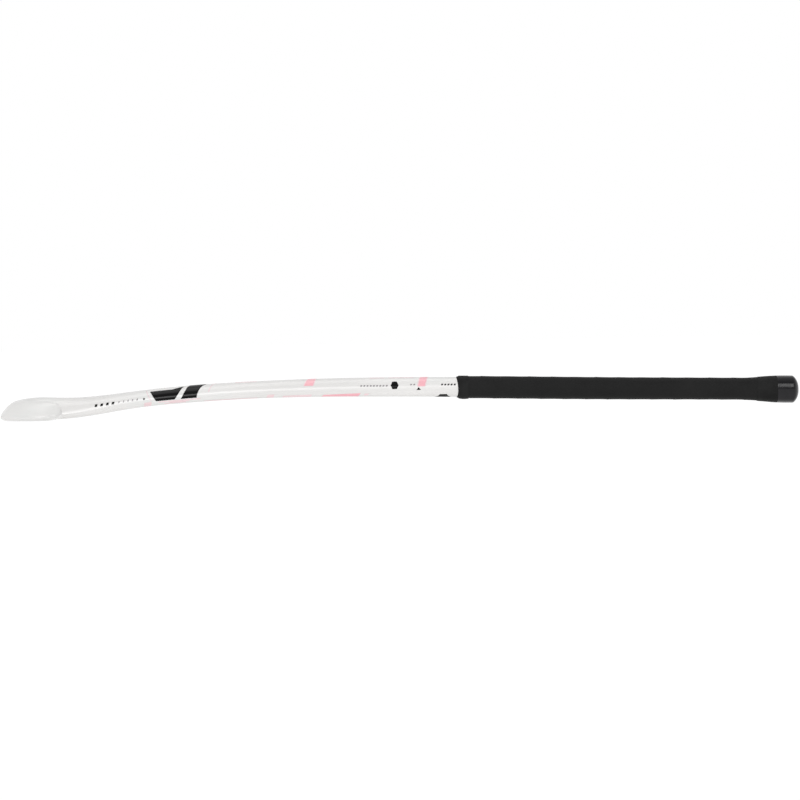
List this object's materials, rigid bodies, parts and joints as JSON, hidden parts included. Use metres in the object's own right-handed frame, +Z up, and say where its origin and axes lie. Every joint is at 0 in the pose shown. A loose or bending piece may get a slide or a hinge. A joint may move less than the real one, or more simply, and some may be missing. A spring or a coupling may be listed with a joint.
{
  "type": "field hockey stick",
  "caption": "Right-handed composite field hockey stick with a hooked head, low bow, flat striking face, wound grip and ribbed butt cap.",
  "frame": {"origin": "under the middle of the stick's box, on the surface that it rests on with its striking face down", "axes": "+X along the straight shaft from the head to the butt, +Z up out of the rounded back, -Y towards the toe"},
  "size_m": [0.9269, 0.1136, 0.0405],
  "materials": {
    "skin": "pearl white lacquer",
    "carbon": "bare carbon laminate",
    "aramid": "resin-bonded aramid ply",
    "core_foam": "rigid foam",
    "bladder": "nylon film",
    "plug_foam": "expanded polyurethane foam",
    "cap_rubber": "glossy moulded rubber",
    "grip_felt": "felt and foam backing",
    "grip": "textured polyurethane tape",
    "tape": "vinyl tape",
    "black_print": "lacquered print",
    "pink_print": "lacquered print",
    "grey_print": "lacquered print"
  },
  "bodies": {
    "root": {"outer_skin": "skin", "carbon_laminate": "carbon", "face_ply": "aramid", "hook_edge_ply": "aramid", "head_core": "core_foam", "centre_web": "carbon", "bladder_heel_side": "bladder", "bladder_toe_side": "bladder", "handle_plug": "plug_foam", "butt_cap": "cap_rubber", "grip_backing": "grip_felt", "grip_wrap": "grip", "finishing_tape": "tape", "butt_tape": "tape", "panel_transfer": "black_print", "edge_transfer": "pink_print", "flash_transfer": "pink_print", "edge_mark_transfer": "black_print", "badge_transfer": "black_print", "dash_transfer": "grey_print"}
  },
  "joints": []
}
